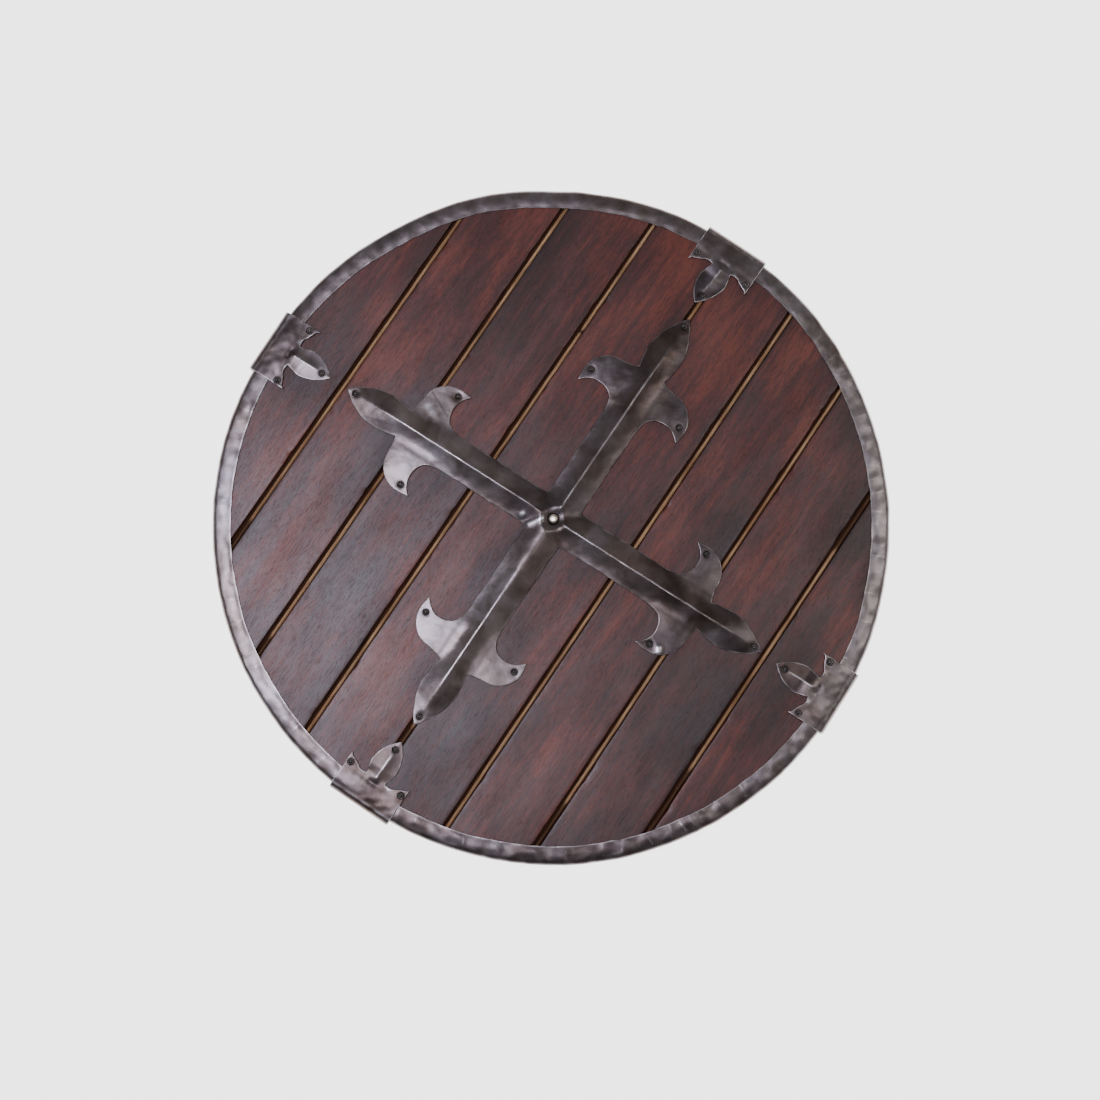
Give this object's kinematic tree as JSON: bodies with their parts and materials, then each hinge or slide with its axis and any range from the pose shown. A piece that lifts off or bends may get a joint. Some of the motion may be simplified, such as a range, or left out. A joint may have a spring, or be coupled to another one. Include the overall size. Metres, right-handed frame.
{
  "type": "wooden round shield",
  "caption": "Round wooden shield of stained planks, with a folded steel rim, rim clips and a ridged steel cross nailed to its face.",
  "frame": {"origin": "under the middle of the shield, on the surface that its back lies on", "axes": "+Z out of the shield's face, up as it lies; +Y along the planks and the cross's long axis; +X across the planks"},
  "size_m": [0.6108, 0.6096, 0.0246],
  "materials": {
    "stained_wood": "dark red-brown stain, satin, open grain along the planks; bare tan wood in the joints",
    "burnished_steel": "dark hammered sheet, blotchy oil-black with burnished ridges and edges",
    "nail_steel": "dark, slightly shiny domed heads",
    "stud_steel": "worn bright, a little brassy"
  },
  "bodies": {
    "root": {"centre_stud": "stud_steel", "clip_nail_bottom_horn_a": "nail_steel", "clip_nail_bottom_horn_b": "nail_steel", "clip_nail_bottom_leaf": "nail_steel", "clip_nail_left_horn_a": "nail_steel", "clip_nail_left_horn_b": "nail_steel", "clip_nail_left_leaf": "nail_steel", "clip_nail_right_horn_a": "nail_steel", "clip_nail_right_horn_b": "nail_steel", "clip_nail_right_leaf": "nail_steel", "clip_nail_top_horn_a": "nail_steel", "clip_nail_top_horn_b": "nail_steel", "clip_nail_top_leaf": "nail_steel", "cross": "burnished_steel", "cross_nail_bottom_lobe_a": "nail_steel", "cross_nail_bottom_lobe_b": "nail_steel", "cross_nail_bottom_tip": "nail_steel", "cross_nail_left_lobe_a": "nail_steel", "cross_nail_left_lobe_b": "nail_steel", "cross_nail_left_tip": "nail_steel", "cross_nail_right_lobe_a": "nail_steel", "cross_nail_right_lobe_b": "nail_steel", "cross_nail_right_tip": "nail_steel", "cross_nail_top_lobe_a": "nail_steel", "cross_nail_top_lobe_b": "nail_steel", "cross_nail_top_tip": "nail_steel", "plank_1": "stained_wood", "plank_2": "stained_wood", "plank_3": "stained_wood", "plank_4": "stained_wood", "plank_5": "stained_wood", "plank_6": "stained_wood", "plank_7": "stained_wood", "plank_8": "stained_wood", "rim": "burnished_steel", "rim_clip_bottom": "burnished_steel", "rim_clip_left": "burnished_steel", "rim_clip_right": "burnished_steel", "rim_clip_top": "burnished_steel"}
  },
  "joints": []
}
